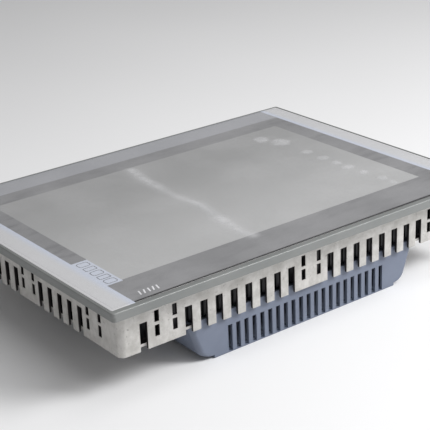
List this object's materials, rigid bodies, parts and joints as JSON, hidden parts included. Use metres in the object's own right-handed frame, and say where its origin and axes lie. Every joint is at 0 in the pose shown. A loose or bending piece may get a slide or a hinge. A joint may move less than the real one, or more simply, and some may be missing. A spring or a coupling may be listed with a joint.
{
  "type": "touch operator panel",
  "caption": "Panel-mounting touch operator panel: framed wide display, slotted cast housing and vented rear cover with sockets on its lower side.",
  "frame": {"origin": "on the ground under the centre of the front's outline, with the panel lying on its back", "axes": "+X along the long side to the viewer's right when facing the display with its top edge up, +Y towards the display's top edge, +Z out of the display"},
  "size_m": [0.33, 0.241, 0.0651],
  "materials": {
    "bezel_paint": "satin grey-green paint on aluminium",
    "clear_film": "clear, glossy, lightly creased",
    "printed_foil": "satin film, grey print with pale strips",
    "touch_glass": "polished",
    "seal_rubber": "matte",
    "foam": "matte, open cell",
    "display_dark": "satin",
    "light_guide": "clear with fine dots",
    "tray_steel": "plain sheet",
    "cast_aluminium": "raw casting, slightly mottled",
    "black_sheet": "black, satin",
    "screw_steel": "zinc plated",
    "plate_aluminium": "milled",
    "board_green": "solder mask",
    "chip_black": "moulded",
    "header_ivory": "moulded",
    "flat_cable": "amber film",
    "plate_steel": "zinc plated sheet",
    "terminal_green": "moulded",
    "port_steel": "tinned shell",
    "jack_green": "moulded",
    "slide_plastic": "moulded, fine grain",
    "brass": "turned",
    "cover_plastic": "moulded, fine spark texture",
    "label_white": "blank label"
  },
  "bodies": {
    "panel": {"front_bezel": "bezel_paint", "protective_film": "clear_film", "front_foil": "printed_foil", "touch_glass": "touch_glass", "mounting_gasket": "seal_rubber", "dust_seal": "foam", "lcd_panel": "display_dark", "light_guide": "light_guide", "backlight_frame": "tray_steel", "housing_frame": "cast_aluminium", "inner_chassis": "black_sheet", "bezel_screws": "screw_steel", "chassis_screws": "screw_steel", "heat_spreader": "plate_aluminium", "spreader_screws": "screw_steel", "main_board": "board_green", "processor": "chip_black", "memory_chips": "chip_black", "ribbon_headers": "header_ivory", "board_screws": "screw_steel", "display_cable": "flat_cable", "touch_cable": "flat_cable", "interface_plate": "plate_steel", "plate_screws": "screw_steel", "power_socket": "terminal_green", "serial_port": "port_steel", "jack_posts": "screw_steel", "ethernet_port_1": "port_steel", "ethernet_port_2": "port_steel", "usb_port_1": "port_steel", "usb_port_2": "port_steel", "service_port": "port_steel", "audio_jack": "jack_green", "card_sockets": "port_steel", "lock_rivets": "screw_steel", "ground_stud": "brass", "ground_nut": "brass", "rear_cover": "cover_plastic", "cover_screws": "screw_steel", "rating_plate": "label_white"},
    "card_lock": {"card_lock_slide": "slide_plastic"}
  },
  "joints": [
    {"name": "card_lock_slide", "type": "slide", "parent": "panel", "child": "card_lock", "axis": [1, 0, 0], "range_m": [0, 0.01]}
  ]
}
